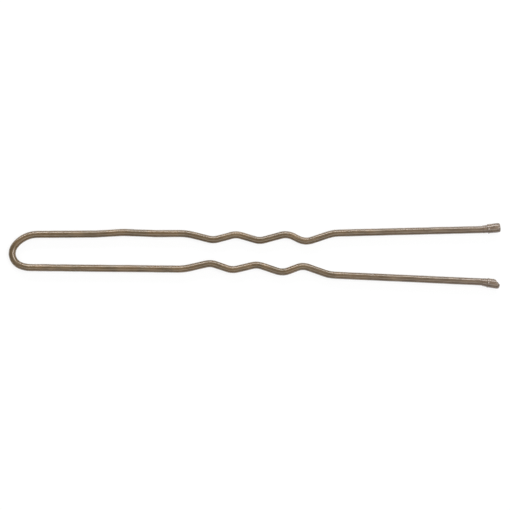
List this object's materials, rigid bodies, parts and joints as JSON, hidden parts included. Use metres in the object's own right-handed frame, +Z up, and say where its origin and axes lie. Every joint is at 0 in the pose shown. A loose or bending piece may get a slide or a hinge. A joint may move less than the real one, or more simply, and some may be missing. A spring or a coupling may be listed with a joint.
{
  "type": "hair pin",
  "caption": "U-shaped waved hair pin of one round lacquered wire, with springy legs and a dipped resin tip on each end.",
  "frame": {"origin": "on the surface that the pin rests on, under the middle of its length and width", "axes": "+X along the pin from the crown to the points, +Y towards the left leg, +Z up from the surface that it lies on"},
  "size_m": [0.076, 0.0102, 0.0015],
  "materials": {
    "lacquered_wire": "bronze brown lacquer on spring steel wire, satin to glossy",
    "resin_tip": "dipped resin in the same bronze brown, glossy"
  },
  "bodies": {
    "crown": {"crown_bend": "lacquered_wire"},
    "left_leg": {"left_leg": "lacquered_wire", "left_tip": "resin_tip"},
    "right_leg": {"right_leg": "lacquered_wire", "right_tip": "resin_tip"}
  },
  "joints": [
    {"name": "left_leg_flex", "type": "hinge", "parent": "crown", "child": "left_leg", "pos_m": [-0.033, 0.00258, 0.00074], "axis": [0, 0, 1], "range_deg": [-1.8, 8], "stiffness_Nm_per_rad": 0.6, "deforming": ["crown_bend"]},
    {"name": "right_leg_flex", "type": "hinge", "parent": "crown", "child": "right_leg", "pos_m": [-0.033, -0.00257, 0.00074], "axis": [0, 0, -1], "range_deg": [-1.8, 8], "stiffness_Nm_per_rad": 0.6, "deforming": ["crown_bend"]}
  ]
}
